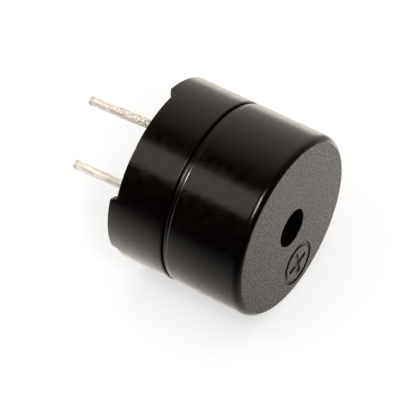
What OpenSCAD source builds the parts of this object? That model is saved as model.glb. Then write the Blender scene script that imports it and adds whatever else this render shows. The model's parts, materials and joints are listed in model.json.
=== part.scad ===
// Passive buzzer: a round two-piece moulded case with a magnetic drive inside,
// made to stand on a circuit board on three feet with its two pins soldered in.
// Origin: centre of the feet's seating plane. +Z points to the sound hole, the
// pins stand along -Z, and the positive pin is on the -X side.

/* [Case] */
// Outer diameter of the case, at the wall of the upper case
case_d = 12; // [10.5:0.1:16]
// Height of the case from the feet to the top face
case_h = 9.5; // [8:0.1:14]
// Wall of the upper case's skirt
case_wall = 0.6; // [0.45:0.05:0.9]
// Thickness of the upper case's top wall
top_wall = 0.8; // [0.5:0.05:1.5]
// Round of the top edge
top_edge_r = 0.48; // [0.1:0.02:0.6]
// Height of the relief band round the mouth of the upper case
relief_h = 0.24; // [0.1:0.01:0.6]
// How far the relief band lies inside the wall above it
relief_inset = 0.1; // [0.02:0.01:0.14]
// Round of the wall's edge above the relief band
relief_edge_r = 0.15; // [0.05:0.01:0.3]
// Round of the edge of the upper case's mouth
mouth_edge_r = 0.08; // [0.03:0.01:0.2]
// Diameter of the sound hole
sound_hole_d = 2.55; // [1.5:0.05:4]
// Round of the sound hole's mouth
sound_hole_edge_r = 0.08; // [0.02:0.01:0.2]

/* [Lower case] */
// How far the lower case lies inside the upper case's outline
lower_inset = 0.02; // [0.01:0.01:0.3]
// Height of the lower case's shoulder above the seating plane
shoulder_z = 3.88; // [3:0.02:4.4]
// Height of the open seam between the two halves
seam_gap = 0.13; // [0.05:0.01:0.3]
// How far the open seam reaches in from the outside
seam_depth = 0.3; // [0.1:0.05:0.35]
// Round of the shoulder's outer edge
shoulder_edge_r = 0.1; // [0.03:0.01:0.2]
// Chamfer of the bottom rim between the feet
rim_chamfer = 0.08; // [0.03:0.01:0.2]
// Wall of the spigot that enters the upper case
spigot_wall = 0.48; // [0.35:0.01:0.7]

/* [Feet] */
// Number of feet
foot_count = 3; // [2:1:6]
// Height of the feet
foot_h = 0.44; // [0.35:0.01:1]
// Angle that one foot covers at its root
foot_angle = 44.5; // [20:0.5:55]
// Round of the feet's outer edge
foot_edge_r = 0.15; // [0.05:0.01:0.3]
// Slope of a foot's end faces from upright
foot_flank = 25; // [0:1:40]
// Direction of the first foot, from +X
foot_first_az = 90; // [0:1:120]

/* [Polarity mark] */
// Diameter of the engraved ring, at the middle of its line
mark_d = 2.68; // [2:0.02:3.2]
// Width of the ring's line
mark_line = 0.32; // [0.1:0.01:0.4]
// Depth of the engraving
mark_depth = 0.1; // [0.05:0.01:0.3]
// Width of the plus sign's arms
plus_arm = 0.36; // [0.15:0.01:0.5]
// Space between the plus sign's tips and the ring
plus_margin = 0.28; // [0.2:0.02:0.6]
// Space between the ring and the round of the top edge
mark_margin = 0.22; // [0.02:0.01:0.3]
// How far the mark is turned past the positive pin, in degrees
mark_turn = 10.4; // [0:0.1:45]

/* [Pins] */
// Distance between the pins' axes
pin_pitch = 6.5; // [5:0.1:7.6]
// Diameter of a pin
pin_d = 0.6; // [0.4:0.02:0.8]
// Length of the positive pin below the seating plane
positive_pin_len = 6.5; // [3:0.1:15]
// Length of the negative pin below the seating plane
negative_pin_len = 5.1; // [3:0.1:12]
// Chamfer of a pin's cut tip
pin_tip_chamfer = 0.06; // [0.02:0.01:0.15]
// How much wider than the pin its pressed shank is, on the radius
shank_step = 0.17; // [0.1:0.01:0.3]
// How far the shank's end stands above the terminal board
shank_stand = 0.3; // [0.1:0.02:0.36]
// Leg of the solder fillet on the board and on the pin
solder_leg = 0.5; // [0.3:0.05:0.7]
// Thickness of the solder fillet at its edges
solder_lip = 0.05; // [0.03:0.01:0.1]

/* [Terminal board] */
// Thickness of the terminal board
board_t = 0.6; // [0.4:0.05:1]
// How far the board's underside lies inside the bottom rim
board_recess = 0.32; // [0.1:0.02:1]
// Width of the ledge that the board is pressed against
board_ledge = 0.25; // [0.15:0.05:0.4]

/* [Magnetic drive] */
// Thickness of the yoke plate
yoke_t = 0.8; // [0.6:0.05:1.2]
// Height of the ring magnet
magnet_h = 2.3; // [1.9:0.1:3]
// Wall of the ring magnet
magnet_wall = 1.5; // [1:0.1:1.8]
// Space between the magnet's top and the diaphragm
magnet_gap = 0.45; // [0.35:0.05:0.8]
// Diameter of the pole core
core_d = 2.2; // [1.6:0.1:2.6]
// Step between the core and the tenon that it has in the yoke, on the radius
core_step = 0.2; // [0.1:0.05:0.4]
// Air gap between the pole core and the diaphragm
pole_gap = 0.3; // [0.2:0.02:0.6]
// Space between the coil and the ring magnet
coil_gap = 0.6; // [0.4:0.05:0.8]
// How far the coil's top stays below the pole core's top
coil_below_pole = 0.2; // [0:0.05:0.6]
// Round of the coil's outer edges
coil_edge_r = 0.2; // [0.05:0.05:0.3]
// Diameter of the coil's lead wires
lead_d = 0.12; // [0.06:0.01:0.2]
// Height above the yoke at which the leads leave the coil
lead_rise = 0.4; // [0.35:0.05:1]
// Thickness of the diaphragm
diaphragm_t = 0.08; // [0.04:0.01:0.2]
// Width of the ledge in the upper case that holds the diaphragm down
diaphragm_ledge = 0.3; // [0.2:0.05:0.5]
// Diameter of the mass on the diaphragm
mass_d = 4.2; // [3:0.1:6]
// Thickness of the mass
mass_t = 0.35; // [0.2:0.05:0.8]

/* [Clearances] */
// Between the spigot and the skirt round it, on the radius
spigot_clear = 0.02; // [0.01:0.01:0.08]
// Round the diaphragm, on the radius
diaphragm_clear = 0.1; // [0.05:0.01:0.15]
// Above the diaphragm's edge
diaphragm_play = 0.02; // [0.01:0.01:0.1]
// Round the magnet, on the radius
magnet_clear = 0.1; // [0.05:0.01:0.2]
// Round the yoke plate, on the radius
yoke_clear = 0.05; // [0.02:0.01:0.15]
// Round the terminal board and in its pin holes, on the radius
board_clear = 0.03; // [0.01:0.01:0.1]
// Round the core's tenon, on the radius
tenon_clear = 0.01; // [0.01:0.01:0.05]
// Between the coil and the pole core, on the radius
coil_clear = 0.05; // [0.02:0.01:0.15]
// Round the shanks and leads in the yoke's notches
notch_clear = 0.28; // [0.2:0.02:0.5]

/* [Hidden] */
$fn = 96;

// How far a cut runs past the face that it opens
over = 1;
// How much wider than its wire a lead's bend is, so that the stretches join cleanly
bend_swell = 1.06;

// Directions of the two pins, from +X
positive_az = 180;
negative_az = 0;

// Radii, from the outside in
case_r = case_d / 2;
flat_top_r = case_r - top_edge_r;
relief_r = case_r - relief_inset;
lower_r = case_r - lower_inset;
skirt_r = case_r - case_wall;
cavity_r = skirt_r - diaphragm_ledge;
spigot_r = skirt_r - spigot_clear;
seat_r = lower_r - seam_depth;
bore_r = spigot_r - spigot_wall;
board_r = bore_r + board_ledge;
recess_r = board_r + board_clear;
diaphragm_r = skirt_r - diaphragm_clear;
yoke_r = bore_r - yoke_clear;
magnet_r = bore_r - magnet_clear;
magnet_hole_r = magnet_r - magnet_wall;
coil_r = magnet_hole_r - coil_gap;
core_r = core_d / 2;
tenon_r = core_r - core_step;
pin_r = pin_d / 2;
shank_r = pin_r + shank_step;
lead_r = lead_d / 2;
sound_hole_r = sound_hole_d / 2;

// Heights, from the board up
rim_z = foot_h;
board_z = rim_z + board_recess;
yoke_z = board_z + board_t;
yoke_top_z = yoke_z + yoke_t;
magnet_top_z = yoke_top_z + magnet_h;
diaphragm_z = magnet_top_z + magnet_gap;
diaphragm_top_z = diaphragm_z + diaphragm_t;
ledge_z = diaphragm_top_z + diaphragm_play;
pole_z = diaphragm_z - pole_gap;
coil_top_z = pole_z - coil_below_pole;
seat_z = shoulder_z + seam_gap;
relief_z = seat_z + relief_h;
cavity_top_z = case_h - top_wall;
solder_z = board_z - solder_leg;
shank_top_z = yoke_z + shank_stand;

// Places of the pins, of the leads and of the mark
pin_x = pin_pitch / 2;
lead_x = coil_r + coil_gap / 2;
notch_r = shank_r + notch_clear;
notch_x = min(pin_x, lead_x);
mark_ring_r = mark_d / 2;
mark_r = flat_top_r - mark_margin - mark_ring_r - mark_line / 2;
plus_span = mark_d - mark_line - 2 * plus_margin;
mark_az = positive_az + mark_turn;

// Colours
case_black = [0.10, 0.10, 0.095];
tin_grey = [0.80, 0.77, 0.72];
solder_grey = [0.70, 0.70, 0.69];
board_green = [0.13, 0.36, 0.20];
steel_grey = [0.62, 0.62, 0.61];
iron_grey = [0.42, 0.42, 0.42];
ferrite_grey = [0.17, 0.17, 0.18];
copper_red = [0.66, 0.33, 0.18];

// Half section of a turned disc: a rectangle on the axis with rounded outer corners
module disc_section(r, z_low, z_high, low_edge, high_edge) {
    difference() {
        translate([0, z_low]) square([r, z_high - z_low]);
        translate([r - low_edge, z_low - over]) square([low_edge + over, low_edge + over]);
        translate([r - high_edge, z_high - high_edge]) square([high_edge + over, high_edge + over]);
    }
    translate([r - low_edge, z_low + low_edge]) circle(low_edge);
    translate([r - high_edge, z_high - high_edge]) circle(high_edge);
}

// Half section of a plain round step
module step_section(r, z_low, z_high) {
    translate([0, z_low]) square([r, z_high - z_low]);
}

// Flat round washer
module washer(r, hole_r, z_low, z_high) {
    difference() {
        translate([0, 0, z_low]) cylinder(r = r, h = z_high - z_low);
        translate([0, 0, z_low - over]) cylinder(r = hole_r, h = z_high - z_low + 2 * over);
    }
}

// Sound hole in half section, with a rounded mouth
module sound_hole_section() {
    mouth_r = sound_hole_r + sound_hole_edge_r;
    mouth_z = case_h - sound_hole_edge_r;
    step_section(sound_hole_r, cavity_top_z - over, case_h + over);
    difference() {
        step_section(mouth_r, mouth_z, case_h + over);
        translate([mouth_r, mouth_z]) circle(sound_hole_edge_r);
    }
}

// Engraved ring and plus sign, as the solid that is cut away
module mark_cutter() {
    depth = mark_depth + over;
    rotate(mark_az) translate([mark_r, 0, case_h - mark_depth]) {
        difference() {
            cylinder(r = mark_ring_r + mark_line / 2, h = depth);
            translate([0, 0, -over]) cylinder(r = mark_ring_r - mark_line / 2, h = depth + 2 * over);
        }
        translate([-plus_span / 2, -plus_arm / 2, 0]) cube([plus_span, plus_arm, depth]);
        translate([-plus_arm / 2, -plus_span / 2, 0]) cube([plus_arm, plus_span, depth]);
    }
}

module upper_case() {
    color(case_black) difference() {
        rotate_extrude() difference() {
            union() {
                disc_section(case_r, relief_z, case_h, relief_edge_r, top_edge_r);
                disc_section(relief_r, seat_z, cavity_top_z, mouth_edge_r, mouth_edge_r);
            }
            step_section(skirt_r, seat_z - over, ledge_z);
            step_section(cavity_r, seat_z, cavity_top_z);
            sound_hole_section();
        }
        mark_cutter();
    }
}

// Gap between two feet, about the +X direction, as the solid that is cut away
module foot_gap() {
    gap_angle = 360 / foot_count - foot_angle;
    far_r = lower_r + over;
    rotate(-gap_angle / 2) rotate_extrude(angle = gap_angle) polygon([
        [recess_r - over, -over],
        [far_r, -over],
        [far_r, rim_z + rim_chamfer + over],
        [lower_r - rim_chamfer, rim_z],
        [recess_r - over, rim_z]
    ]);
    for (side = [-1, 1])
        rotate(side * gap_angle / 2)
            translate([0, 0, rim_z])
                rotate([side * foot_flank, 0, 0])
                    translate([recess_r - over, -(side + 1) / 2 * over, -over])
                        cube([far_r - recess_r + over, over, over]);
}

module lower_case() {
    color(case_black) difference() {
        rotate_extrude() difference() {
            union() {
                disc_section(lower_r, 0, shoulder_z, foot_edge_r, shoulder_edge_r);
                step_section(seat_r, foot_h, seat_z);
                step_section(spigot_r, foot_h, diaphragm_z);
            }
            step_section(bore_r, -over, diaphragm_z + over);
            step_section(recess_r, -over, yoke_z);
        }
        for (i = [0 : foot_count - 1])
            rotate(foot_first_az + (i + 0.5) * 360 / foot_count) foot_gap();
    }
}

module diaphragm() {
    color(steel_grey) translate([0, 0, diaphragm_z]) cylinder(r = diaphragm_r, h = diaphragm_t);
}

module diaphragm_mass() {
    color(iron_grey) translate([0, 0, diaphragm_top_z]) cylinder(d = mass_d, h = mass_t);
}

module ring_magnet() {
    color(ferrite_grey) washer(magnet_r, magnet_hole_r, yoke_top_z, magnet_top_z);
}

// Notch from a pin's place to the edge of the yoke, for the shank and the coil's lead
module yoke_notch() {
    notch_h = yoke_t + 2 * over;
    translate([notch_x, 0, yoke_z - over]) {
        cylinder(r = notch_r, h = notch_h);
        translate([0, -notch_r, 0]) cube([case_r, 2 * notch_r, notch_h]);
    }
}

module yoke_plate() {
    color(iron_grey) difference() {
        washer(yoke_r, tenon_r + tenon_clear, yoke_z, yoke_top_z);
        for (az = [positive_az, negative_az]) rotate(az) yoke_notch();
    }
}

module pole_core() {
    color(iron_grey) {
        translate([0, 0, yoke_z]) cylinder(r = tenon_r, h = yoke_t);
        translate([0, 0, yoke_top_z]) cylinder(r = core_r, h = pole_z - yoke_top_z);
    }
}

module coil() {
    color(copper_red) rotate_extrude() difference() {
        disc_section(coil_r, yoke_top_z, coil_top_z, coil_edge_r, coil_edge_r);
        step_section(core_r + coil_clear, yoke_top_z - over, coil_top_z + over);
    }
}

// Round wire between two points in the plane of the pins, given as [x, z]
module wire_run(from, to) {
    run = to - from;
    translate([from[0], 0, from[1]])
        rotate([0, atan2(run[0], run[1]), 0])
            cylinder(r = lead_r, h = norm(run), $fn = 24);
}

// Lead in one direction: out of the coil, down through the yoke's notch and onto the shank's end
module coil_lead(az) {
    out_z = yoke_top_z + lead_rise;
    on_pin_z = shank_top_z + lead_r * bend_swell;
    stops = [
        [coil_r, out_z],
        [lead_x, out_z],
        [lead_x, on_pin_z],
        [pin_x, on_pin_z]
    ];
    rotate(az) {
        for (i = [0 : len(stops) - 2]) wire_run(stops[i], stops[i + 1]);
        for (i = [1 : len(stops) - 2])
            translate([stops[i][0], 0, stops[i][1]]) sphere(r = lead_r * bend_swell, $fn = 24);
    }
}

module coil_lead_positive() {
    color(copper_red) coil_lead(positive_az);
}

module coil_lead_negative() {
    color(copper_red) coil_lead(negative_az);
}

module terminal_board() {
    color(board_green) difference() {
        translate([0, 0, board_z]) cylinder(r = board_r, h = board_t);
        for (az = [positive_az, negative_az])
            rotate(az) translate([pin_x, 0, board_z - over])
                cylinder(r = shank_r + board_clear, h = board_t + 2 * over);
    }
}

// Pin in one direction: a cut and chamfered tip, the round wire, its swell inside
// the solder and the shank that is pressed through the board
module pin(az, length) {
    rotate(az) translate([pin_x, 0, 0]) {
        translate([0, 0, -length])
            cylinder(r1 = pin_r - pin_tip_chamfer, r2 = pin_r, h = pin_tip_chamfer);
        translate([0, 0, pin_tip_chamfer - length])
            cylinder(r = pin_r, h = solder_z + length - pin_tip_chamfer);
        translate([0, 0, solder_z]) cylinder(r1 = pin_r, r2 = shank_r, h = solder_leg);
        translate([0, 0, board_z]) cylinder(r = shank_r, h = shank_top_z - board_z);
    }
}

module positive_pin() {
    color(tin_grey) pin(positive_az, positive_pin_len);
}

module negative_pin() {
    color(tin_grey) pin(negative_az, negative_pin_len);
}

// Solder in one direction: a hollow fillet between the board's underside and the pin
module solder_joint(az) {
    outer_r = pin_r + solder_leg;
    rotate(az) translate([pin_x, 0, 0]) rotate_extrude() difference() {
        polygon([[pin_r, solder_z], [outer_r, solder_z], [outer_r, board_z], [shank_r, board_z]]);
        translate([outer_r, solder_z]) circle(solder_leg - solder_lip);
    }
}

module positive_solder_joint() {
    color(solder_grey) solder_joint(positive_az);
}

module negative_solder_joint() {
    color(solder_grey) solder_joint(negative_az);
}

upper_case();
lower_case();
diaphragm();
diaphragm_mass();
ring_magnet();
yoke_plate();
pole_core();
coil();
coil_lead_positive();
coil_lead_negative();
terminal_board();
positive_pin();
negative_pin();
positive_solder_joint();
negative_solder_joint();
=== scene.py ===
# %% [markdown]
# # A passive buzzer
#
# A passive buzzer is a small loudspeaker for a circuit board: a black moulded case in two halves,
# two tinned pins, and a coil, a magnet and a steel diaphragm inside. The solids arrive at their real
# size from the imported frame. This script dresses them: it turns finer meshes for what shows, gives
# every piece the finish of its real material, and sets the camera, the floor and the light.
#
# Blender works in metres. Lengths below are written in millimetres, and MM turns them to metres.

import json
import math

import bmesh
import bpy
from mathutils import Matrix, Vector


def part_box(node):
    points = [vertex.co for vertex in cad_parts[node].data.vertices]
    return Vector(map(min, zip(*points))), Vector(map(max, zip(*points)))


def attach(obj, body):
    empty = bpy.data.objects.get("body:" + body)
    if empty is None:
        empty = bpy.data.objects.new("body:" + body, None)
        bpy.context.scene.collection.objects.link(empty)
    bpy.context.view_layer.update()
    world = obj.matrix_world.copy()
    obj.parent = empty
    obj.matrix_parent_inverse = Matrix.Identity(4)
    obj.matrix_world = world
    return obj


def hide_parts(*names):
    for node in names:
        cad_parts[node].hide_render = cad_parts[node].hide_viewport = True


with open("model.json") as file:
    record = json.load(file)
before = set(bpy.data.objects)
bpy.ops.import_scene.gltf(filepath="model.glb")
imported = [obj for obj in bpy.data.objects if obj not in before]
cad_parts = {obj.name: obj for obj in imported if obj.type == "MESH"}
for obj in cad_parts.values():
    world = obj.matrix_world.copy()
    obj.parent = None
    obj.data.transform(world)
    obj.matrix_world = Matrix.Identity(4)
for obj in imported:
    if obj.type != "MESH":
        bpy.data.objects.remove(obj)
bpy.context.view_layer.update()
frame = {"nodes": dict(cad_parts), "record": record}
MM = 0.001
print("nodes:", ", ".join(sorted(frame["nodes"])))

# %% [markdown]
# ## Helpers
#
# Blender builds materials, the world and Geometry Nodes from the same kind of node tree. One small
# function adds a node, sets its properties and feeds its sockets, either with a plain value or with
# another node's output. Colours are written as sRGB hex values, as a colour picker shows them, and
# turned to the linear values that the renderer works with.

# %% Nodes and colours
def add(tree, kind, feeds=None, **settings):
    """Adds a node with its settings, and feeds its sockets from values or from other outputs."""
    node = tree.nodes.new(kind)
    for name, value in settings.items():
        setattr(node, name, value)
    for socket, value in (feeds or {}).items():
        if isinstance(value, bpy.types.NodeSocket):
            tree.links.new(value, node.inputs[socket])
        else:
            node.inputs[socket].default_value = value
    return node


def linear(hex_colour):
    """sRGB hex, such as "#808080", as a linear RGBA tuple."""
    parts = [int(hex_colour[i:i + 2], 16) / 255 for i in (1, 3, 5)]
    return tuple(c / 12.92 if c <= 0.04045 else ((c + 0.055) / 1.055) ** 2.4 for c in parts) + (1.0,)


print("mid grey is", round(linear("#808080")[0], 3), "in linear light")

# %% [markdown]
# ## Camera
#
# The case lies on its side on a pale table, and the camera looks down at its wall and its top face,
# with a long lens, so that the lines along the case stay almost parallel. A camera in Blender looks
# along its own -Z. Its axes could be set by hand as three angles. Here they are worked out from a
# direction and then rolled about it, which is easier to reason about.

# %% Place the camera
CAMERA_AZIMUTH = math.radians(38.3)
CAMERA_ELEVATION = math.radians(22.52)
CAMERA_ROLL = math.radians(-115.5)
CAMERA_DISTANCE = 250.8 * MM
CAMERA_LENS = 366.84
CAMERA_RIGHT = 2.333 * MM
CAMERA_DOWN = 2.065 * MM
CAMERA_NEAR = 10 * MM


def direction(azimuth, elevation):
    """Unit vector towards an azimuth from +X and an elevation, in radians."""
    flat = math.cos(elevation)
    return Vector((flat * math.cos(azimuth), flat * math.sin(azimuth), math.sin(elevation)))


back = direction(CAMERA_AZIMUTH, CAMERA_ELEVATION)
level = Vector((-math.sin(CAMERA_AZIMUTH), math.cos(CAMERA_AZIMUTH), 0))
rise = back.cross(level)
right = level * math.cos(CAMERA_ROLL) - rise * math.sin(CAMERA_ROLL)
up = level * math.sin(CAMERA_ROLL) + rise * math.cos(CAMERA_ROLL)
place = right * CAMERA_RIGHT - up * CAMERA_DOWN + back * CAMERA_DISTANCE

camera = bpy.data.objects.new("camera", bpy.data.cameras.new("camera"))
camera.data.lens = CAMERA_LENS
camera.data.clip_start = CAMERA_NEAR
camera.matrix_world = Matrix.Translation(place) @ Matrix((right, up, back)).transposed().to_4x4()
bpy.context.collection.objects.link(camera)
bpy.context.scene.camera = camera
print("camera at", [round(c / MM, 1) for c in place], "mm")

# %% [markdown]
# ## Materials of the case
#
# The case is injection-moulded black ABS. The mould gives this one plastic three finishes: polished on
# the wall, grained on the top face and dull underneath. Each could be a picture wrapped round the
# piece. Noise in Object coordinates needs no wrapping, and its scale is worked out from a real size, so
# a grain has the same size on every piece. A pattern below is a group of values: the size of its
# hills, the detail of the noise, and the strength and the depth of the bump.

# %% Helpers for materials
def new_material(name):
    """An empty node material, its tree and the Object coordinates that its patterns read."""
    material = bpy.data.materials.new(name)
    material.use_nodes = True
    tree = material.node_tree
    tree.nodes.clear()
    return material, tree, add(tree, "ShaderNodeTexCoord").outputs["Object"]


def uneven_skin(tree, where, size, detail, strength, depth, under=None):
    """Noise with hills of a real size, and the normal of its bump, laid over another bump if given."""
    hills = add(tree, "ShaderNodeTexNoise", {
        "Vector": where, "Scale": 1 / size, "Detail": detail}).outputs["Fac"]
    bump = add(tree, "ShaderNodeBump", {"Height": hills, "Strength": strength, "Distance": depth})
    if under:
        tree.links.new(under, bump.inputs["Normal"])
    return hills, bump.outputs["Normal"]


CASE_BLACK = "#040201"
ABS_IOR = 1.5
print("case black is", round(linear(CASE_BLACK)[0], 4), "in linear light")

# %% [markdown]
# ## Polished wall
#
# The wall comes from a polished mould and shows its surroundings as soft dark reflections. A perfect
# mirror would look like glass. A real moulding shrinks a little unevenly, so two bumps lie on each
# other: a slow ripple, which also varies the gloss, and a hardly visible grain.

# %% Polished plastic
WALL_ROUGHNESS = 0.2
WALL_ROUGHNESS_SPREAD = 0.05
WALL_RIPPLE = {"size": 0.6 * MM, "detail": 2.0, "strength": 0.1, "depth": 0.05 * MM}
WALL_GRAIN = {"size": 0.14 * MM, "detail": 2.0, "strength": 0.25, "depth": 0.015 * MM}
RIPPLE_LOW = 0.3
RIPPLE_HIGH = 0.7


def polished_abs():
    """Black ABS from a polished mould: a satin gloss with a hardly visible ripple."""
    material, tree, where = new_material("polished_moulded_abs")
    ripple, waves = uneven_skin(tree, where, **WALL_RIPPLE)
    normal = uneven_skin(tree, where, **WALL_GRAIN, under=waves)[1]
    rough = add(tree, "ShaderNodeMapRange", {
        "Value": ripple, "From Min": RIPPLE_LOW, "From Max": RIPPLE_HIGH,
        "To Min": WALL_ROUGHNESS - WALL_ROUGHNESS_SPREAD, "To Max": WALL_ROUGHNESS + WALL_ROUGHNESS_SPREAD})
    shader = add(tree, "ShaderNodeBsdfPrincipled", {
        "Base Color": linear(CASE_BLACK), "Roughness": rough.outputs[0], "IOR": ABS_IOR, "Normal": normal})
    add(tree, "ShaderNodeOutputMaterial", {"Surface": shader.outputs["BSDF"]})
    return material


WALL_PLASTIC = polished_abs()
print("wall:", WALL_PLASTIC.name)

# %% [markdown]
# ## Grained top face
#
# The top face comes from a spark-eroded mould. Its grain scatters the light and turns the black plastic
# grey when it is seen at a slant. Modelled grain would need millions of faces. A bump does the
# same to the light, and the grey is painted too: the hills of the same noise get a painted sheen, a
# lighter tone than the painted shade in its hollows. The grain is drawn about twice its real size,
# because the real one is too fine to show in the render.

# %% Grained plastic
# Painted light: the lighter tone on the grain's hills is a painted sheen, the darker tone in its hollows
# painted shade.
FACE_HOLLOW_SHADE = "#111010"
FACE_HILL_SHEEN = "#757474"
FACE_ROUGHNESS = 0.5
FACE_GRAIN = {"size": 0.12 * MM, "detail": 3.0, "strength": 1.0, "depth": 0.15 * MM}
HOLLOWS = 0.38
HILLS = 0.62


def grained_abs():
    """Black ABS from a spark-eroded mould: an even grain, painted grey with a sheen on its hills and shade
    in its hollows.
    """
    material, tree, where = new_material("spark_eroded_abs")
    grain, normal = uneven_skin(tree, where, **FACE_GRAIN)
    peaks = add(tree, "ShaderNodeMapRange", {"Value": grain, "From Min": HOLLOWS, "From Max": HILLS})
    tone = add(tree, "ShaderNodeMix", {
        "Factor": peaks.outputs[0], "A": linear(FACE_HOLLOW_SHADE), "B": linear(FACE_HILL_SHEEN)}, data_type="RGBA")
    shader = add(tree, "ShaderNodeBsdfPrincipled", {
        "Base Color": tone.outputs["Result"], "Roughness": FACE_ROUGHNESS, "IOR": ABS_IOR, "Normal": normal})
    add(tree, "ShaderNodeOutputMaterial", {"Surface": shader.outputs["BSDF"]})
    return material


FACE_PLASTIC = grained_abs()
print("top face:", FACE_PLASTIC.name)

# %% [markdown]
# ## Dull underside
#
# Nobody sees the underside of a mounted buzzer, so that part of a mould is seldom polished. The flanks
# of the feet and the bottom rim are dull and catch no glints, which the polished plastic would show on
# their small rounded edges. It is the same plastic with a higher roughness and a coarser bump.

# %% Dull plastic
MATT_ROUGHNESS = 0.75
MATT_GRAIN = {"size": 0.12 * MM, "detail": 2.0, "strength": 0.5, "depth": 0.05 * MM}


def matt_abs():
    """Black ABS from an unpolished mould: dull and a little rough."""
    material, tree, where = new_material("unpolished_moulded_abs")
    normal = uneven_skin(tree, where, **MATT_GRAIN)[1]
    shader = add(tree, "ShaderNodeBsdfPrincipled", {
        "Base Color": linear(CASE_BLACK), "Roughness": MATT_ROUGHNESS, "IOR": ABS_IOR, "Normal": normal})
    add(tree, "ShaderNodeOutputMaterial", {"Surface": shader.outputs["BSDF"]})
    return material


MATT_PLASTIC = matt_abs()
print("underside:", MATT_PLASTIC.name)

# %% [markdown]
# ## A tree that turns a profile
#
# The case halves and the pins are round. Each could be a Screw modifier on a drawn profile. Here one
# Geometry Nodes tree turns them all, so that the number of columns and the material are its inputs. It
# takes the outline of a half section, as loose points, and lays them along a grid: a row of the grid
# is a point of the outline, and a column is an angle. The first and the last column meet and are
# merged, and so are the points on the axis. A hollow piece's outline ends where it began.

# %% Turning tree
MERGE_DISTANCE = 0.0005 * MM


def new_tree(name, inputs):
    """A Geometry Nodes tree with named inputs, given as {name: socket type}, and those inputs' outputs."""
    tree = bpy.data.node_groups.new(name, "GeometryNodeTree")
    tree.interface.new_socket("Geometry", in_out="INPUT", socket_type="NodeSocketGeometry")
    for title, kind in inputs.items():
        tree.interface.new_socket(title, in_out="INPUT", socket_type=kind)
    tree.interface.new_socket("Geometry", in_out="OUTPUT", socket_type="NodeSocketGeometry")
    return tree, add(tree, "NodeGroupInput").outputs


def end_tree(tree, given, geometry):
    """Ends a tree: makes its geometry real, gives it the material and hands it out."""
    real = add(tree, "GeometryNodeRealizeInstances", {"Geometry": geometry})
    dressed = add(tree, "GeometryNodeSetMaterial", {
        "Geometry": real.outputs["Geometry"], "Material": given["Material"]})
    add(tree, "NodeGroupOutput", {"Geometry": dressed.outputs["Geometry"]})
    return tree


def turning_tree():
    """Turns an outline, as a line of points in the XZ plane, about Z."""
    tree, given = new_tree("turning", {"Columns": "NodeSocketInt", "Material": "NodeSocketMaterial"})
    count = add(tree, "GeometryNodeAttributeDomainSize", {"Geometry": given["Geometry"]})
    across = add(tree, "ShaderNodeMath", {0: given["Columns"], 1: 1.0}, operation="ADD").outputs[0]
    grid = add(tree, "GeometryNodeMeshGrid", {
        "Vertices X": count.outputs["Point Count"], "Vertices Y": across})
    index = add(tree, "GeometryNodeInputIndex").outputs[0]
    share = add(tree, "ShaderNodeMath", {0: index, 1: across}, operation="DIVIDE").outputs[0]
    row = add(tree, "ShaderNodeMath", {0: share}, operation="FLOOR").outputs[0]
    column = add(tree, "ShaderNodeMath", {0: index, 1: across}, operation="MODULO").outputs[0]
    point = add(tree, "GeometryNodeSampleIndex", {
        "Geometry": given["Geometry"], "Value": add(tree, "GeometryNodeInputPosition").outputs[0],
        "Index": row}, data_type="FLOAT_VECTOR")
    turn = add(tree, "ShaderNodeMapRange", {
        "Value": column, "From Max": given["Columns"], "To Min": -1.0, "To Max": 1.0}).outputs[0]
    angle = add(tree, "ShaderNodeMath", {0: turn, 1: math.pi}, operation="MULTIPLY").outputs[0]
    turned = add(tree, "ShaderNodeVectorRotate", {
        "Vector": point.outputs["Value"], "Angle": angle}, rotation_type="Z_AXIS").outputs[0]
    placed = add(tree, "GeometryNodeSetPosition", {"Geometry": grid.outputs["Mesh"], "Position": turned})
    closed = add(tree, "GeometryNodeMergeByDistance", {
        "Geometry": placed.outputs["Geometry"], "Distance": MERGE_DISTANCE})
    return end_tree(tree, given, closed.outputs["Geometry"])


TURNING = turning_tree()
print("turning tree has", len(TURNING.nodes), "nodes")

# %% Pieces from outlines
EDGE_CREASE = math.radians(40)


def outline_piece(name, outline):
    """A new piece that holds an outline, [(radius, height)] in millimetres, as loose points."""
    mesh = bpy.data.meshes.new(name)
    mesh.from_pydata([(r * MM, 0, z * MM) for r, z in outline], [], [])
    piece = bpy.data.objects.new(name, mesh)
    bpy.context.collection.objects.link(piece)
    return piece


def keep_result(piece, modifier):
    """Keeps what a modifier makes as the piece's plain mesh and removes the modifier."""
    shaped = piece.evaluated_get(bpy.context.evaluated_depsgraph_get())
    mesh = bpy.data.meshes.new_from_object(shaped)
    piece.modifiers.remove(modifier)
    piece.data = mesh


def run_tree(piece, tree, **values):
    """Runs a tree on a piece, with its inputs by name and underscores for spaces."""
    modifier = piece.modifiers.new(tree.name, "NODES")
    modifier.node_group = tree
    for item in tree.interface.items_tree:
        key = item.name.replace(" ", "_")
        if item.in_out == "INPUT" and key in values:
            modifier[item.identifier] = values[key]
    keep_result(piece, modifier)


def finish_mesh(piece, crease):
    """Turns the faces outwards, shades them smooth up to a crease angle and tells what came out."""
    shape = bmesh.new()
    shape.from_mesh(piece.data)
    bmesh.ops.recalc_face_normals(shape, faces=shape.faces)
    open_edges = sum(not edge.is_manifold for edge in shape.edges)
    volume = shape.calc_volume(signed=True) / MM ** 3
    shape.to_mesh(piece.data)
    shape.free()
    piece.data.shade_smooth()
    piece.data.set_sharp_from_angle(angle=crease)
    print(piece.name, len(piece.data.polygons), "faces,", open_edges, "open edges,", round(volume, 2), "mm3")


print("edges sharper than", round(math.degrees(EDGE_CREASE)), "degrees stay sharp")

# %% [markdown]
# ## Upper case
#
# The cap has a sound hole, a rounded top edge, a plain wall and a relief band round its mouth, where the
# wall steps back a little above the seam. Inside, a ledge holds the diaphragm down. The outline is
# written as it would be on a lathe drawing, with straight stretches and arcs, because a Bevel modifier
# can't give each edge its own radius. The round of the top stops short of flat and meets the face in a
# fine crease, where the polish ends and the grain begins.

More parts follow.
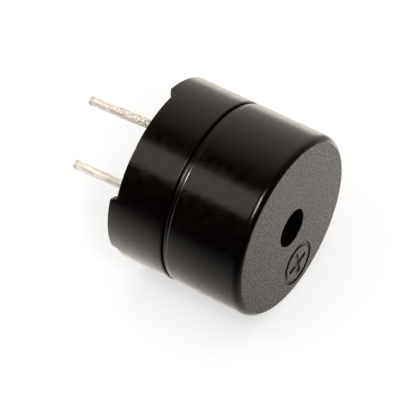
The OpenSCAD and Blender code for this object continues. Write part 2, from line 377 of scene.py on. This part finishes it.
# %% Outline of the upper case
def arc(centre, radius, start, stop, steps):
    """Points of an arc in the half section, angles in degrees."""
    angles = [math.radians(start + (stop - start) * i / steps) for i in range(steps + 1)]
    return [(centre[0] + radius * math.cos(a), centre[1] + radius * math.sin(a)) for a in angles]


def span(node):
    """Lowest and highest corner of a node in millimetres."""
    return [corner / MM for corner in map(Vector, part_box(node))]


cap_low, cap_high = span("upper_case")
CASE_R = cap_high.x
CASE_TOP = cap_high.z
CAP_MOUTH = cap_low.z
RELIEF_INSET = 0.1
RELIEF_HEIGHT = 0.24
RELIEF_EDGE_R = 0.15
MOUTH_EDGE_R = 0.08
TOP_EDGE_R = 0.6
TOP_EDGE_SWEEP = 66
HOLE_R = 1.275
HOLE_EDGE_R = 0.05
TOP_WALL = 0.8
SKIRT_WALL = 0.6
LEDGE_WIDTH = 0.3
LEDGE_GAP = 0.02
TOP_EDGE_STEPS = 12
SMALL_EDGE_STEPS = 9

skirt_r = CASE_R - SKIRT_WALL
cavity_r = skirt_r - LEDGE_WIDTH
cavity_top = CASE_TOP - TOP_WALL
ledge_z = span("diaphragm")[1].z + LEDGE_GAP
hole_edge = (HOLE_R + HOLE_EDGE_R, CASE_TOP - HOLE_EDGE_R)
top_round = (CASE_R - TOP_EDGE_R, CASE_TOP - TOP_EDGE_R * math.sin(math.radians(TOP_EDGE_SWEEP)))
flat_r = top_round[0] + TOP_EDGE_R * math.cos(math.radians(TOP_EDGE_SWEEP))
relief_edge = (CASE_R - RELIEF_EDGE_R, CAP_MOUTH + RELIEF_HEIGHT + RELIEF_EDGE_R)
relief_stop = math.degrees(math.asin((RELIEF_EDGE_R - RELIEF_INSET) / RELIEF_EDGE_R)) - 90
mouth_edge = (CASE_R - RELIEF_INSET - MOUTH_EDGE_R, CAP_MOUTH + MOUTH_EDGE_R)

cap_outline = [(HOLE_R, cavity_top)]
cap_outline += arc(hole_edge, HOLE_EDGE_R, 180, 90, SMALL_EDGE_STEPS)
cap_outline += arc(top_round, TOP_EDGE_R, TOP_EDGE_SWEEP, 0, TOP_EDGE_STEPS)
cap_outline += arc(relief_edge, RELIEF_EDGE_R, 0, relief_stop, SMALL_EDGE_STEPS)
cap_outline += arc(mouth_edge, MOUTH_EDGE_R, 0, -90, SMALL_EDGE_STEPS)
cap_outline += [(skirt_r, CAP_MOUTH), (skirt_r, ledge_z), (cavity_r, ledge_z), (cavity_r, cavity_top)]
cap_outline += [cap_outline[0]]
print("upper case outline:", len(cap_outline), "points, flat to a radius of", round(flat_r, 2), "mm")

# %% [markdown]
# ## Polarity mark
#
# Over the positive pin the mould presses a ring with a plus sign into the face. Sinking points of the
# face would need a very fine mesh to get crisp lines. A cutter in the mark's own shape and a Boolean
# give sharp walls with few faces: the ring is turned by the same tree, and the plus sign is a prism.

# %% Cutters of the mark
MARK_D = 2.68
MARK_LINE = 0.32
MARK_DEPTH = 0.1
PLUS_ARM = 0.36
PLUS_SPAN = 1.8
MARK_R = 3.8
MARK_AZIMUTH = math.radians(190.4)
CUT_OVER = 0.2
RING_COLUMNS = 160

mark_place = Matrix.Rotation(MARK_AZIMUTH, 4, "Z") @ Matrix.Translation((MARK_R * MM, 0, 0))
mark_low = CASE_TOP - MARK_DEPTH
mark_high = CASE_TOP + CUT_OVER


def ring_cutter():
    """A turned ring with the section of the mark's line."""
    inner = (MARK_D - MARK_LINE) / 2
    outer = (MARK_D + MARK_LINE) / 2
    section = [(inner, mark_low), (outer, mark_low), (outer, mark_high), (inner, mark_high)]
    cutter = outline_piece("mark_ring", section + section[:1])
    run_tree(cutter, TURNING, Columns=RING_COLUMNS, Material=WALL_PLASTIC)
    return cutter


def plus_cutter():
    """An upright prism in the shape of a plus sign."""
    tip = PLUS_SPAN / 2
    side = PLUS_ARM / 2
    arm = [(side, -side), (tip, -side), (tip, side)]
    quarter = [Matrix.Rotation(math.radians(90 * turn), 2) for turn in range(4)]
    rim = [turned @ Vector(corner) for turned in quarter for corner in arm]
    count = len(rim)
    low = [(x * MM, y * MM, mark_low * MM) for x, y in rim]
    high = [(x * MM, y * MM, mark_high * MM) for x, y in rim]
    sides = [(i, (i + 1) % count, count + (i + 1) % count, count + i) for i in range(count)]
    ends = [tuple(reversed(range(count))), tuple(range(count, 2 * count))]
    mesh = bpy.data.meshes.new("mark_plus")
    mesh.from_pydata(low + high, [], sides + ends)
    mesh.materials.append(WALL_PLASTIC)
    cutter = bpy.data.objects.new("mark_plus", mesh)
    bpy.context.collection.objects.link(cutter)
    return cutter


def carve(piece, cutter):
    """Takes a cutter's shape out of a piece and removes the cutter."""
    finish_mesh(cutter, EDGE_CREASE)
    modifier = piece.modifiers.new("carve", "BOOLEAN")
    modifier.operation = "DIFFERENCE"
    modifier.solver = "EXACT"
    modifier.object = cutter
    keep_result(piece, modifier)
    bpy.data.objects.remove(cutter)


print("mark:", MARK_D, "mm across,", MARK_DEPTH, "mm deep")

# %% Turn and engrave the upper case
CAP_COLUMNS = 360
CAP_CREASE = math.radians(12)
FACE_MARGIN = 0.01
FACING_UP = 0.9

cap = outline_piece("upper_case_moulding", cap_outline)
run_tree(cap, TURNING, Columns=CAP_COLUMNS, Material=WALL_PLASTIC)
finish_mesh(cap, CAP_CREASE)
for cutter in (ring_cutter(), plus_cutter()):
    cutter.data.transform(mark_place)
    carve(cap, cutter)
cap.data.materials.append(FACE_PLASTIC)
grained = len(cap.data.materials) - 1
for polygon in cap.data.polygons:
    on_face = polygon.center.z > (mark_low - FACE_MARGIN) * MM and polygon.center.xy.length < flat_r * MM
    if on_face and polygon.normal.z > FACING_UP:
        polygon.material_index = grained
finish_mesh(cap, CAP_CREASE)

# %% [markdown]
# ## Lower case
#
# The lower half closes the case with a step that enters the cap, leaves a fine open seam under the
# relief band, and stands on three short feet. It could be drawn foot by foot. Here it is first turned
# as if the feet were one full ring, and the wall gets a row of points at the height where the next
# step, which lifts that ring between the feet, has to end.

# %% Outline of the lower case
def spaced(low, high, step):
    """Even stops from low to high, no more than a step apart."""
    count = math.ceil((high - low) / step)
    return [low + (high - low) * i / count for i in range(count + 1)]


base_low, base_high = span("lower_case")
LOWER_R = base_high.x
FEET_Z = base_low.z
SPIGOT_TOP = base_high.z
SHOULDER_Z = 3.88
SHOULDER_EDGE_R = 0.1
SEAM_DEPTH = 0.3
SPIGOT_GAP = 0.02
SPIGOT_WALL = 0.48
BOARD_LEDGE = 0.25
BOARD_GAP = 0.03
FOOT_EDGE_R = 0.06
INNER_EDGE_R = 0.35
LIFT_END = 0.95
WALL_STEP = 0.8
SHOULDER_STEPS = 6
FOOT_EDGE_STEPS = 8
INNER_EDGE_STEPS = 4

spigot_r = skirt_r - SPIGOT_GAP
bore_r = spigot_r - SPIGOT_WALL
recess_r = bore_r + BOARD_LEDGE + BOARD_GAP
recess_top = span("terminal_board")[1].z
seat_r = LOWER_R - SEAM_DEPTH
shoulder_edge = (LOWER_R - SHOULDER_EDGE_R, SHOULDER_Z - SHOULDER_EDGE_R)
foot_edge = (LOWER_R - FOOT_EDGE_R, FEET_Z + FOOT_EDGE_R)
inner_edge = (recess_r + INNER_EDGE_R, FEET_Z + INNER_EDGE_R)
wall_stops = spaced(LIFT_END, SHOULDER_Z - SHOULDER_EDGE_R, WALL_STEP)[:-1]

base_outline = [(bore_r, recess_top), (bore_r, SPIGOT_TOP), (spigot_r, SPIGOT_TOP), (spigot_r, CAP_MOUTH)]
base_outline += [(seat_r, CAP_MOUTH), (seat_r, SHOULDER_Z)]
base_outline += arc(shoulder_edge, SHOULDER_EDGE_R, 90, 0, SHOULDER_STEPS)
base_outline += [(LOWER_R, z) for z in reversed(wall_stops)]
base_outline += arc(foot_edge, FOOT_EDGE_R, 0, -90, FOOT_EDGE_STEPS)
base_outline += arc(inner_edge, INNER_EDGE_R, -90, -180, INNER_EDGE_STEPS)
base_outline += [(recess_r, LIFT_END), (recess_r, recess_top)]
base_outline += [base_outline[0]]
print("lower case outline:", len(base_outline), "points")

# %% [markdown]
# ## Feet
#
# The feet hold the case off the circuit board, so that flux can be washed out from under it. A Boolean
# could cut the gaps between them, but it would leave long faces that spoil the smooth shading of the
# wall. A second tree lifts the ring between the feet instead. Points on the wall slide up along it, so
# the wall keeps its round form, and a smooth step gives each foot its slanting flanks.

# %% Feet tree
FOOT_COUNT = 3
FOOT_H = 0.44
FOOT_ANGLE = math.radians(44.5)
FOOT_FLANK = math.radians(2.9)
FOOT_FIRST = math.radians(90)


def feet_tree():
    """Lifts the bottom ring between the feet."""
    tree, given = new_tree("feet", {
        "Count": "NodeSocketInt", "First": "NodeSocketFloat", "Half angle": "NodeSocketFloat",
        "Flank": "NodeSocketFloat", "Lift": "NodeSocketFloat", "Edge": "NodeSocketFloat",
        "End": "NodeSocketFloat", "Material": "NodeSocketMaterial"})
    where = add(tree, "GeometryNodeInputPosition").outputs[0]
    at = add(tree, "ShaderNodeSeparateXYZ", {0: where}).outputs
    azimuth = add(tree, "ShaderNodeMath", {0: at["Y"], 1: at["X"]}, operation="ARCTAN2").outputs[0]
    past = add(tree, "ShaderNodeMath", {0: azimuth, 1: given["First"]}, operation="SUBTRACT").outputs[0]
    pitch = add(tree, "ShaderNodeMath", {0: 2 * math.pi, 1: given["Count"]}, operation="DIVIDE").outputs[0]
    half_pitch = add(tree, "ShaderNodeMath", {0: pitch, 1: 0.5}, operation="MULTIPLY").outputs[0]
    off_foot = add(tree, "ShaderNodeMath", {0: past, 1: half_pitch}, operation="PINGPONG").outputs[0]
    tip = add(tree, "ShaderNodeMath", {0: given["Half angle"], 1: given["Flank"]}, operation="SUBTRACT")
    gap = add(tree, "ShaderNodeMapRange", {
        "Value": off_foot, "From Min": tip.outputs[0], "From Max": given["Half angle"]},
        interpolation_type="SMOOTHSTEP").outputs[0]
    fade = add(tree, "ShaderNodeMapRange", {
        "Value": at["Z"], "From Min": given["Edge"], "From Max": given["End"], "To Min": given["Lift"],
        "To Max": 0.0}).outputs[0]
    lift = add(tree, "ShaderNodeMath", {0: gap, 1: fade}, operation="MULTIPLY").outputs[0]
    shift = add(tree, "ShaderNodeCombineXYZ", {"Z": lift}).outputs[0]
    lifted = add(tree, "GeometryNodeSetPosition", {"Geometry": given["Geometry"], "Offset": shift})
    return end_tree(tree, given, lifted.outputs["Geometry"])


FEET = feet_tree()
print("feet tree has", len(FEET.nodes), "nodes")

# %% Turn the lower case and form its feet
BASE_COLUMNS = 1080
WALL_FACING = 0.8

base = outline_piece("lower_case_moulding", base_outline)
run_tree(base, TURNING, Columns=BASE_COLUMNS, Material=WALL_PLASTIC)
run_tree(base, FEET, Count=FOOT_COUNT, First=FOOT_FIRST, Half_angle=FOOT_ANGLE / 2, Flank=FOOT_FLANK,
         Lift=FOOT_H * MM, Edge=(FEET_Z + FOOT_EDGE_R) * MM, End=LIFT_END * MM, Material=WALL_PLASTIC)
finish_mesh(base, EDGE_CREASE)
base.data.materials.append(MATT_PLASTIC)
dull = len(base.data.materials) - 1
for polygon in base.data.polygons:
    outwards = polygon.normal.dot(polygon.center.xy.to_3d().normalized())
    if polygon.center.z < LIFT_END * MM and outwards < WALL_FACING:
        polygon.material_index = dull

# %% [markdown]
# ## Pin metal
#
# The pins are hot-tinned wire: pale and satin, too dull to mirror anything. Drawing leaves fine streaks
# along the wire, soldering leaves dark flecks near its root, and the cutter leaves a greyer end. Streaks
# are noise that is stretched along the pin. One tone after another is mixed in, each with its own share,
# so there can be few flecks on one pin and many on the other. Streaks and flecks are drawn coarse enough
# to show in the render.

# %% Tinned wire
TIN_LIGHT = "#fbfaf8"
TIN_SHADE = "#d3cec8"
TIN_FLECK = "#2a241c"
TIN_CUT = "#c8cbc3"
TIN_METAL = 0.25
TIN_ROUGHNESS = 0.4
TIN_ROUGHNESS_SPREAD = 0.1
STREAKS = {"size": 0.14 * MM, "detail": 3.0, "strength": 0.2, "depth": 0.02 * MM}
STREAK_SQUEEZE = 0.2
STREAK_LOW = 0.45
STREAK_HIGH = 0.65
FLECK_SIZE = 0.09 * MM
FLECK_DETAIL = 1.0
FLECK_LOW = 0.5
FLECK_HIGH = 0.58
FLECK_TOP = 0.2 * MM
FLECK_END = -4.8 * MM
FLECK_SHARES = {"positive_pin": 0.35, "negative_pin": 0.95}
CUT_BAND = 0.36 * MM


def tinned_wire(node, name):
    """Hot-tinned wire: a pale satin metal in fine streaks, flecked near its root."""
    material, tree, where = new_material(name)
    height = add(tree, "ShaderNodeSeparateXYZ", {0: where}).outputs["Z"]
    drawn = add(tree, "ShaderNodeMapping", {"Vector": where, "Scale": (1.0, 1.0, STREAK_SQUEEZE)}).outputs[0]
    streaks, normal = uneven_skin(tree, drawn, **STREAKS)
    shaded = add(tree, "ShaderNodeMapRange", {
        "Value": streaks, "From Min": STREAK_LOW, "From Max": STREAK_HIGH}).outputs[0]
    specks = add(tree, "ShaderNodeTexNoise", {
        "Vector": where, "Scale": 1 / FLECK_SIZE, "Detail": FLECK_DETAIL})
    near_root = add(tree, "ShaderNodeMapRange", {
        "Value": height, "From Min": FLECK_END, "From Max": FLECK_TOP,
        "To Max": FLECK_SHARES[node]}).outputs[0]
    flecked = add(tree, "ShaderNodeMapRange", {
        "Value": specks.outputs["Fac"], "From Min": FLECK_LOW, "From Max": FLECK_HIGH,
        "To Max": near_root}).outputs[0]
    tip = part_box(node)[0][2]
    cut = add(tree, "ShaderNodeMapRange", {
        "Value": height, "From Min": tip + CUT_BAND, "From Max": tip + CUT_BAND / 2}).outputs[0]
    tone = linear(TIN_LIGHT)
    for share, colour in ((shaded, TIN_SHADE), (flecked, TIN_FLECK), (cut, TIN_CUT)):
        tone = add(tree, "ShaderNodeMix", {"Factor": share, "A": tone, "B": linear(colour)},
                   data_type="RGBA").outputs["Result"]
    rough = add(tree, "ShaderNodeMapRange", {
        "Value": streaks, "To Min": TIN_ROUGHNESS - TIN_ROUGHNESS_SPREAD,
        "To Max": TIN_ROUGHNESS + TIN_ROUGHNESS_SPREAD})
    shader = add(tree, "ShaderNodeBsdfPrincipled", {
        "Base Color": tone, "Metallic": TIN_METAL, "Roughness": rough.outputs[0], "Normal": normal})
    add(tree, "ShaderNodeOutputMaterial", {"Surface": shader.outputs["BSDF"]})
    return material


WIRE_TIN = {"positive_pin": tinned_wire("positive_pin", "hot_tinned_wire_clean"),
            "negative_pin": tinned_wire("negative_pin", "hot_tinned_wire_flecked")}
print("pin metals:", ", ".join(metal.name for metal in WIRE_TIN.values()))

# %% [markdown]
# ## Pins
#
# A pin has a fine round at its tip, where it was cut, and a wider shank inside the board. Wire that has
# been handled is never quite straight. Tilting the whole pin would move its root in the board, so a tree
# leans it by a fraction of a millimetre at its tip, while its root stays where the solder holds it.

# %% Leaning tree
def leaning_tree():
    """Bends a pin from its root so that its tip moves sideways, then stands it in its place."""
    tree, given = new_tree("leaning", {
        "Root": "NodeSocketFloat", "Tip": "NodeSocketFloat", "Lean": "NodeSocketVector",
        "Place": "NodeSocketVector", "Material": "NodeSocketMaterial"})
    where = add(tree, "GeometryNodeInputPosition").outputs[0]
    height = add(tree, "ShaderNodeSeparateXYZ", {0: where}).outputs["Z"]
    share = add(tree, "ShaderNodeMapRange", {
        "Value": height, "From Min": given["Root"], "From Max": given["Tip"]}).outputs[0]
    lean = add(tree, "ShaderNodeVectorMath", {0: given["Lean"], "Scale": share}, operation="SCALE")
    shift = add(tree, "ShaderNodeVectorMath", {0: lean.outputs[0], 1: given["Place"]}, operation="ADD")
    moved = add(tree, "GeometryNodeSetPosition", {
        "Geometry": given["Geometry"], "Offset": shift.outputs[0]})
    return end_tree(tree, given, moved.outputs["Geometry"])


LEANING = leaning_tree()
print("leaning tree has", len(LEANING.nodes), "nodes")

# %% Turn and lean the pins
PIN_TIP_R = 0.06
PIN_TIP_STEPS = 4
PIN_STEP = 0.4
PIN_COLUMNS = 48
LEAN_WAY = math.radians(128.3)
LEANS = {"positive_pin": 0.15, "negative_pin": 0.22}

solder_low = span("positive_solder_joint")[0].z
board_low = span("terminal_board")[0].z
pin_sizes = {mount["name"]: mount["dims"] for mount in frame["record"]["mounts"]}
pins = {}
for node, lean in LEANS.items():
    low, high = span(node)
    pin_x = (low.x + high.x) / 2
    shank_r = (high.x - low.x) / 2
    pin_r = pin_sizes[node]["r_mm"]
    outline = [(0, low.z)]
    outline += arc((pin_r - PIN_TIP_R, low.z + PIN_TIP_R), PIN_TIP_R, -90, 0, PIN_TIP_STEPS)
    outline += [(pin_r, z) for z in spaced(low.z + PIN_TIP_R, solder_low, PIN_STEP)[1:]]
    outline += [(shank_r, board_low), (shank_r, high.z), (0, high.z)]
    pin = outline_piece(node + "_wire", outline)
    run_tree(pin, TURNING, Columns=PIN_COLUMNS, Material=WIRE_TIN[node])
    run_tree(pin, LEANING, Root=0.0, Tip=low.z * MM, Lean=direction(LEAN_WAY, 0) * lean * MM,
             Place=(pin_x * MM, 0, 0), Material=WIRE_TIN[node])
    finish_mesh(pin, EDGE_CREASE)
    pins[node] = pin

# %% [markdown]
# ## Inside
#
# The case hides the drive: only the disc on the diaphragm shows, dimly, through the sound hole, and the
# board and its solder from below. These pieces keep the solids' own meshes, which already have their
# true shape, and only get a finish. Steel, iron, ferrite, enamelled copper, board and solder differ in
# colour, gloss, share of metal and the size of a fine mottle, so one function makes them all.

# %% Finishes of the inner pieces
MOTTLE_SPREAD = 0.1
MOTTLE = {"detail": 4.0, "strength": 0.1, "depth": 0.02 * MM}


def mottled(name, colour, roughness, metallic, size):
    """A metal or mineral with a fine mottle of a given size in its gloss and surface."""
    material, tree, where = new_material(name)
    noise, normal = uneven_skin(tree, where, size, **MOTTLE)
    rough = add(tree, "ShaderNodeMapRange", {
        "Value": noise, "To Min": roughness - MOTTLE_SPREAD, "To Max": roughness + MOTTLE_SPREAD})
    shader = add(tree, "ShaderNodeBsdfPrincipled", {
        "Base Color": linear(colour), "Metallic": metallic, "Roughness": rough.outputs[0], "Normal": normal})
    add(tree, "ShaderNodeOutputMaterial", {"Surface": shader.outputs["BSDF"]})
    return material


steel = mottled("rolled_spring_steel", "#b9b9b4", roughness=0.3, metallic=1.0, size=0.2 * MM)
iron = mottled("zinc_plated_iron", "#a9abab", roughness=0.35, metallic=1.0, size=0.3 * MM)
ferrite = mottled("sintered_ferrite", "#303033", roughness=0.6, metallic=0.0, size=0.1 * MM)
copper = mottled("enamelled_copper", "#b8622c", roughness=0.25, metallic=1.0, size=0.2 * MM)
laminate = mottled("solder_masked_laminate", "#1f5a34", roughness=0.35, metallic=0.0, size=0.3 * MM)
solder = mottled("tin_solder", "#c9c9c4", roughness=0.28, metallic=1.0, size=0.25 * MM)
FINISHES = (
    (steel, ("diaphragm", "diaphragm_mass")),
    (iron, ("yoke_plate", "pole_core")),
    (ferrite, ("ring_magnet",)),
    (copper, ("coil", "coil_lead_positive", "coil_lead_negative")),
    (laminate, ("terminal_board",)),
    (solder, ("positive_solder_joint", "negative_solder_joint")),
)
for finish, nodes in FINISHES:
    for node in nodes:
        for slot in frame["nodes"][node].material_slots:
            slot.material = finish
print("inner finishes:", ", ".join(finish.name for finish, nodes in FINISHES))

# %% [markdown]
# ## Floor
#
# The buzzer lies on white paper, so the floor is the plane that the wall touches. More light would turn
# the paper white, but it would also wash out the black plastic. Instead the paper is a light grey that
# takes the soft shadow, and it glows for the camera, just enough to come out white.
#
# The black wall has hardly any colour of its own: what shows there is what it mirrors, above all the
# floor. For reflections the paper has a painted glow instead of its lit grey, a painted reflection whose
# level changes from place to place: painted light on one side and painted shade on others. It passes 1
# in places, brighter than the white of a picture. Beside the case it is full and then falls off. In front
# of the top face it grows from one side to the other, from painted shade to painted light, and far away
# it is brighter beside the case and dimmer ahead of it.

# %% Painted reflection level of the floor
FLOOR_SHEEN = 1.55
SHEEN_WAY = (0, 0.833, 0.553)
SHEEN_START = 5 * MM
SHEEN_FADE = 7 * MM
FRONT_NEAR = 0.0
FRONT_FAR = 2.35
FRONT_START = 11.5 * MM
FRONT_END = -12 * MM
FRONT_SHARE = 0.75
FAR_START = -20 * MM
FAR_END = -28 * MM
FAR_BESIDE = 1.35
FAR_AHEAD = 0.3
AHEAD_END = 6 * MM


def painted_reflection_level(tree, where):
    """The painted glow that reflections see on the floor, from place to place."""
    at = add(tree, "ShaderNodeSeparateXYZ", {0: where}).outputs
    along = add(tree, "ShaderNodeVectorMath", {0: where, 1: SHEEN_WAY}, operation="DOT_PRODUCT")
    past = add(tree, "ShaderNodeMapRange", {
        "Value": along.outputs["Value"], "From Min": SHEEN_START, "From Max": SHEEN_START + SHEEN_FADE,
        "To Max": -1.0}, clamp=False).outputs[0]
    short = add(tree, "ShaderNodeMath", {0: past, 1: 0.0}, operation="MINIMUM").outputs[0]
    falling = add(tree, "ShaderNodeMath", {0: short}, operation="EXPONENT").outputs[0]
    beside = add(tree, "ShaderNodeMath", {0: falling, 1: FLOOR_SHEEN}, operation="MULTIPLY").outputs[0]
    growing = add(tree, "ShaderNodeMapRange", {
        "Value": at["Y"], "From Min": FRONT_START, "From Max": FRONT_END, "To Min": FRONT_NEAR,
        "To Max": FRONT_FAR}).outputs[0]
    kept = add(tree, "ShaderNodeMath", {0: beside, 1: FRONT_SHARE}, operation="MULTIPLY").outputs[0]
    front = add(tree, "ShaderNodeMath", {0: growing, 1: kept}, operation="MAXIMUM").outputs[0]
    in_front = add(tree, "ShaderNodeMath", {0: at["Z"], 1: CASE_TOP * MM}, operation="GREATER_THAN")
    sheen = add(tree, "ShaderNodeMix", {"Factor": in_front.outputs[0], 2: beside, 3: front}).outputs[0]
    ahead = add(tree, "ShaderNodeMapRange", {
        "Value": at["Z"], "From Max": AHEAD_END, "To Min": FAR_BESIDE, "To Max": FAR_AHEAD}).outputs[0]
    distant = add(tree, "ShaderNodeMapRange", {
        "Value": at["Y"], "From Min": FAR_START, "From Max": FAR_END, "To Min": 1.0,
        "To Max": ahead}).outputs[0]
    return add(tree, "ShaderNodeMath", {0: sheen, 1: distant}, operation="MULTIPLY").outputs[0]


print("mirrored floor is", FLOOR_SHEEN, "bright beside the case")

# %% Lay the floor
FLOOR_SIZE = 90 * MM
FLOOR_SOLID = 40 * MM
FLOOR_COLOUR = "#a3a6aa"
FLOOR_GLOW = 0.61
WARM_WHITE = "#fff6ec"


def paper():
    """White paper with a painted glow in reflections, which fades out away from the object and
    can't be seen from behind."""
    material, tree, where = new_material("white_paper")
    path = add(tree, "ShaderNodeLightPath").outputs
    matt = add(tree, "ShaderNodeBsdfDiffuse", {"Color": linear(FLOOR_COLOUR)}).outputs[0]
    seen = add(tree, "ShaderNodeMath", {0: path["Is Camera Ray"], 1: path["Is Transmission Ray"]},
               operation="MAXIMUM").outputs[0]
    glow = add(tree, "ShaderNodeMath", {0: seen, 1: FLOOR_GLOW}, operation="MULTIPLY").outputs[0]
    light = add(tree, "ShaderNodeEmission", {"Strength": glow}).outputs[0]
    white = add(tree, "ShaderNodeAddShader", {0: matt, 1: light}).outputs[0]
    # Painted reflection: glossy rays see this graded glow, not the lit paper.
    mirrored = add(tree, "ShaderNodeEmission", {
        "Color": linear(WARM_WHITE), "Strength": painted_reflection_level(tree, where)}).outputs[0]
    face = add(tree, "ShaderNodeMixShader", {0: path["Is Glossy Ray"], 1: white, 2: mirrored}).outputs[0]
    far = add(tree, "ShaderNodeVectorMath", {0: where}, operation="LENGTH").outputs["Value"]
    fade = add(tree, "ShaderNodeMapRange", {"Value": far, "From Min": FLOOR_SOLID, "From Max": FLOOR_SIZE},
               interpolation_type="SMOOTHSTEP").outputs[0]
    behind = add(tree, "ShaderNodeNewGeometry").outputs["Backfacing"]
    clear = add(tree, "ShaderNodeMath", {0: fade, 1: behind}, operation="MAXIMUM").outputs[0]
    nothing = add(tree, "ShaderNodeBsdfTransparent").outputs[0]
    mixed = add(tree, "ShaderNodeMixShader", {0: clear, 1: face, 2: nothing}).outputs[0]
    add(tree, "ShaderNodeOutputMaterial", {"Surface": mixed})
    return material


corner_signs = ((-1, -1), (1, -1), (1, 1), (-1, 1))
floor_corners = [(-CASE_R * MM, y * FLOOR_SIZE, z * FLOOR_SIZE) for y, z in corner_signs]
floor_mesh = bpy.data.meshes.new("floor")
floor_mesh.from_pydata(floor_corners, [], [(0, 1, 2, 3)])
floor_mesh.materials.append(paper())
floor = bpy.data.objects.new("floor", floor_mesh)
bpy.context.collection.objects.link(floor)
print("floor faces", [round(c, 1) for c in floor_mesh.polygons[0].normal])

# %% [markdown]
# ## Lamps
#
# Polished black plastic is lit by what it mirrors, so each lamp is a softbox with a place in the
# reflections. The sky lies over the case and gives the wide pale shadow, but no reflection. The key is
# small and bright: it draws the thin streak on the top round and lights the pins. The edge lamp draws
# the streaks along the seam and shows in reflections alone. The band is large and dim, and the wall
# mirrors it as one broad grey band. A lamp's size is given as the angle that it fills, as seen from the
# case, and its level next to white, so the lamps can be moved nearer with little change in the look.

# %% Softboxes
LAMP_DISTANCE = 200 * MM


def softbox(name, azimuth, elevation, wide, tall, level):
    """An area lamp that looks at the case, its place and size in degrees as seen from there."""
    lamp = bpy.data.lights.new(name, "AREA")
    lamp.shape = "RECTANGLE"
    lamp.size = 2 * LAMP_DISTANCE * math.tan(math.radians(wide) / 2)
    lamp.size_y = 2 * LAMP_DISTANCE * math.tan(math.radians(tall) / 2)
    lamp.energy = level * math.pi * lamp.size * lamp.size_y
    lamp.color = linear(WARM_WHITE)[:3]
    way = direction(math.radians(azimuth), math.radians(elevation))
    box = bpy.data.objects.new(name, lamp)
    box.location = way * LAMP_DISTANCE + Vector((0, 0, CASE_TOP / 2 * MM))
    box.rotation_euler = way.to_track_quat("Z", "Y").to_euler()
    box.visible_camera = False
    bpy.context.collection.objects.link(box)
    return box


sky = softbox("sky", azimuth=10, elevation=0, wide=66, tall=66, level=2.2)
sky.visible_glossy = False
softbox("key", azimuth=32, elevation=29, wide=20, tall=8, level=27)
edge = softbox("edge", azimuth=36, elevation=-62, wide=10, tall=16, level=60)
edge.visible_diffuse = False
softbox("band", azimuth=35, elevation=-22, wide=27, tall=40, level=1.2)
print("lamps:", ", ".join(light.name for light in bpy.data.lights))

# %% [markdown]
# ## Room
#
# The world stands for the room round the table. The camera sees it as plain white. For light and
# reflections it is bright on one side, dark on the other and dimmer ahead of the top face, and it adds
# the brown of a wooden table from below. An HDR picture could do this too, but a slope and two ramps
# are easier to adjust and need no file.

# %% World
ROOM_MIDDLE = 0.04
ROOM_SLOPE = -0.93
ROOM_AHEAD = 0.2
AHEAD_FULL = 0.6
TABLE_BROWN = "#a87a55"
TABLE_LEVEL = 0.3
TABLE_EDGE = -0.4
TABLE_FULL = -0.9


def room():
    """White for the camera; otherwise bright on one side, dimmer ahead and brown from below."""
    made = bpy.data.worlds.new("room")
    made.use_nodes = True
    tree = made.node_tree
    tree.nodes.clear()
    path = add(tree, "ShaderNodeLightPath").outputs
    seen = add(tree, "ShaderNodeMath", {0: path["Is Camera Ray"], 1: path["Is Transmission Ray"]},
               operation="MAXIMUM").outputs[0]
    look = add(tree, "ShaderNodeTexCoord").outputs["Generated"]
    way = add(tree, "ShaderNodeSeparateXYZ", {0: look}).outputs
    slope = add(tree, "ShaderNodeMath", {0: way["Y"], 1: ROOM_SLOPE, 2: ROOM_MIDDLE},
                operation="MULTIPLY_ADD").outputs[0]
    beside = add(tree, "ShaderNodeMath", {0: slope, 1: 0.0}, operation="MAXIMUM").outputs[0]
    dim = add(tree, "ShaderNodeMapRange", {
        "Value": way["Z"], "From Max": AHEAD_FULL, "To Min": 1.0, "To Max": ROOM_AHEAD}).outputs[0]
    level = add(tree, "ShaderNodeMath", {0: beside, 1: dim}, operation="MULTIPLY").outputs[0]
    side = add(tree, "ShaderNodeBackground", {"Color": linear(WARM_WHITE), "Strength": level}).outputs[0]
    low = add(tree, "ShaderNodeMapRange", {
        "Value": way["Z"], "From Min": TABLE_EDGE, "From Max": TABLE_FULL, "To Max": TABLE_LEVEL}).outputs[0]
    below = add(tree, "ShaderNodeBackground", {"Color": linear(TABLE_BROWN), "Strength": low}).outputs[0]
    both = add(tree, "ShaderNodeAddShader", {0: side, 1: below}).outputs[0]
    white = add(tree, "ShaderNodeBackground", {"Color": (1, 1, 1, 1)}).outputs[0]
    mixed = add(tree, "ShaderNodeMixShader", {0: seen, 1: both, 2: white}).outputs[0]
    add(tree, "ShaderNodeOutputWorld", {"Surface": mixed})
    return made


bpy.context.scene.world = room()
bpy.context.scene.view_settings.view_transform = "Standard"
print("room is", ROOM_MIDDLE, "bright in the middle")

# %% [markdown]
# ## Join the frame
#
# Each turned piece takes the place of its solid and rides on the part's only body.

# %% Replace the solids
for piece, node, slot_name in ((cap, "upper_case", "case_black"), (base, "lower_case", "case_black"),
                               (pins["positive_pin"], "positive_pin", "tinned_wire"),
                               (pins["negative_pin"], "negative_pin", "tinned_wire")):
    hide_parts(node)
    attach(piece, "root")

bpy.context.view_layer.update()
